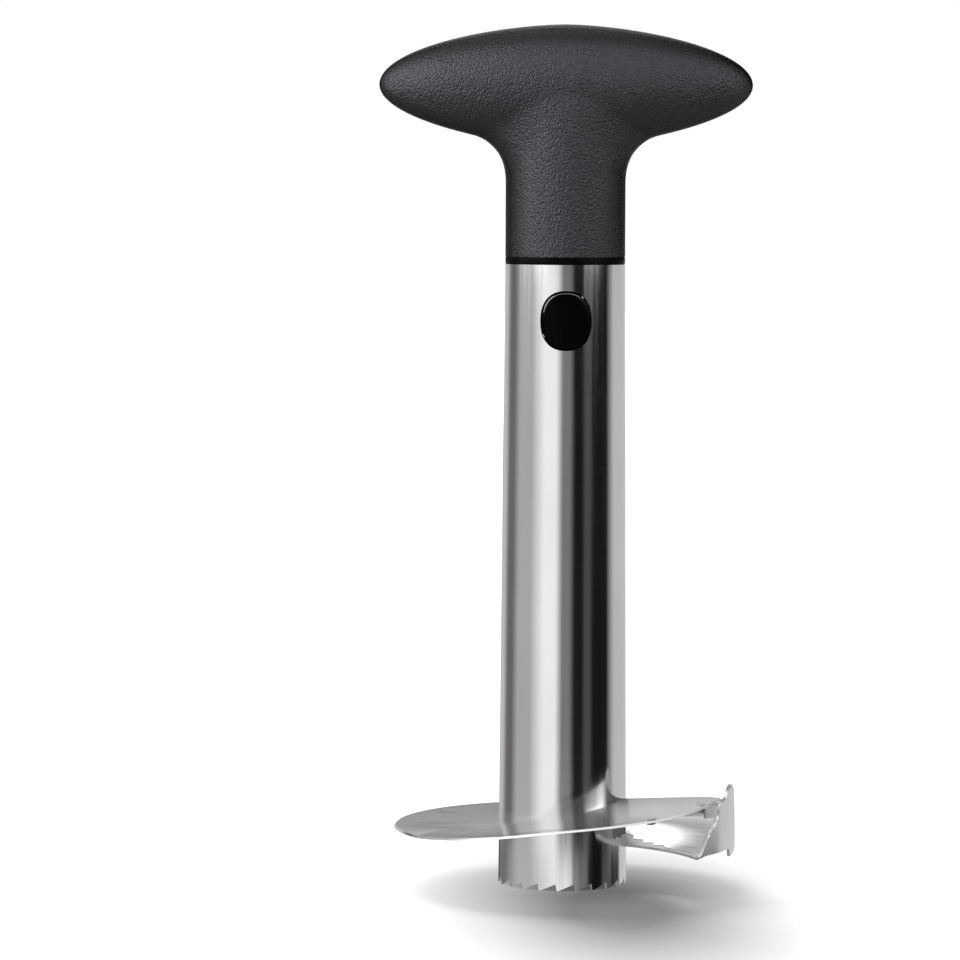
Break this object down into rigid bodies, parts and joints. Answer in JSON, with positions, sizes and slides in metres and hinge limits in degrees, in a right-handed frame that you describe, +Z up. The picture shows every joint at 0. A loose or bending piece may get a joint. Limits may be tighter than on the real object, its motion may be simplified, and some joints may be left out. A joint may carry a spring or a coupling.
{
  "type": "pineapple slicer",
  "caption": "Hand-turned pineapple corer and slicer: toothed steel core tube with a helical ring blade and a push-button T grip.",
  "frame": {"origin": "on the core tube's axis, at the level of the tooth tips that the tool stands on", "axes": "+Z up along the core tube to the grip, +X along the grip's bar towards the side blade, -Y is the front, where the pictured button faces"},
  "size_m": [0.104, 0.0948, 0.2402],
  "materials": {
    "tube_steel": "polished stainless steel",
    "blade_steel": "brushed stainless sheet",
    "fastener_steel": "plain steel",
    "grip_plastic": "matte leather grain",
    "shank_plastic": "smooth satin",
    "button_plastic": "gloss"
  },
  "bodies": {
    "blade_unit": {"core_tube": "tube_steel", "ring_blade": "blade_steel", "side_blade": "blade_steel", "flap_rivet_front": "fastener_steel", "flap_rivet_rear": "fastener_steel"},
    "handle": {"shank_plug": "shank_plastic", "plug_end_cap": "shank_plastic", "retaining_pin": "fastener_steel", "grip_front_shell": "grip_plastic", "grip_rear_shell": "grip_plastic", "grip_screw_left": "fastener_steel", "grip_screw_right": "fastener_steel", "grip_screw_middle": "fastener_steel", "front_latch_screw": "fastener_steel", "rear_latch_screw": "fastener_steel"},
    "front_button": {"front_latch": "button_plastic"},
    "rear_button": {"rear_latch": "button_plastic"}
  },
  "joints": [
    {"name": "handle_pull", "type": "slide", "parent": "blade_unit", "child": "handle", "axis": [0, 0, 1], "range_m": [0, 0.055], "deforming": ["front_latch", "rear_latch"]},
    {"name": "front_button_press", "type": "hinge", "parent": "handle", "child": "front_button", "pos_m": [0, -0.0088, 0.186], "axis": [1, 0, 0], "range_deg": [0, 7.2], "stiffness_Nm_per_rad": 0.25},
    {"name": "rear_button_press", "type": "hinge", "parent": "handle", "child": "rear_button", "pos_m": [0, 0.0088, 0.186], "axis": [-1, 0, 0], "range_deg": [0, 7.2], "stiffness_Nm_per_rad": 0.25}
  ]
}
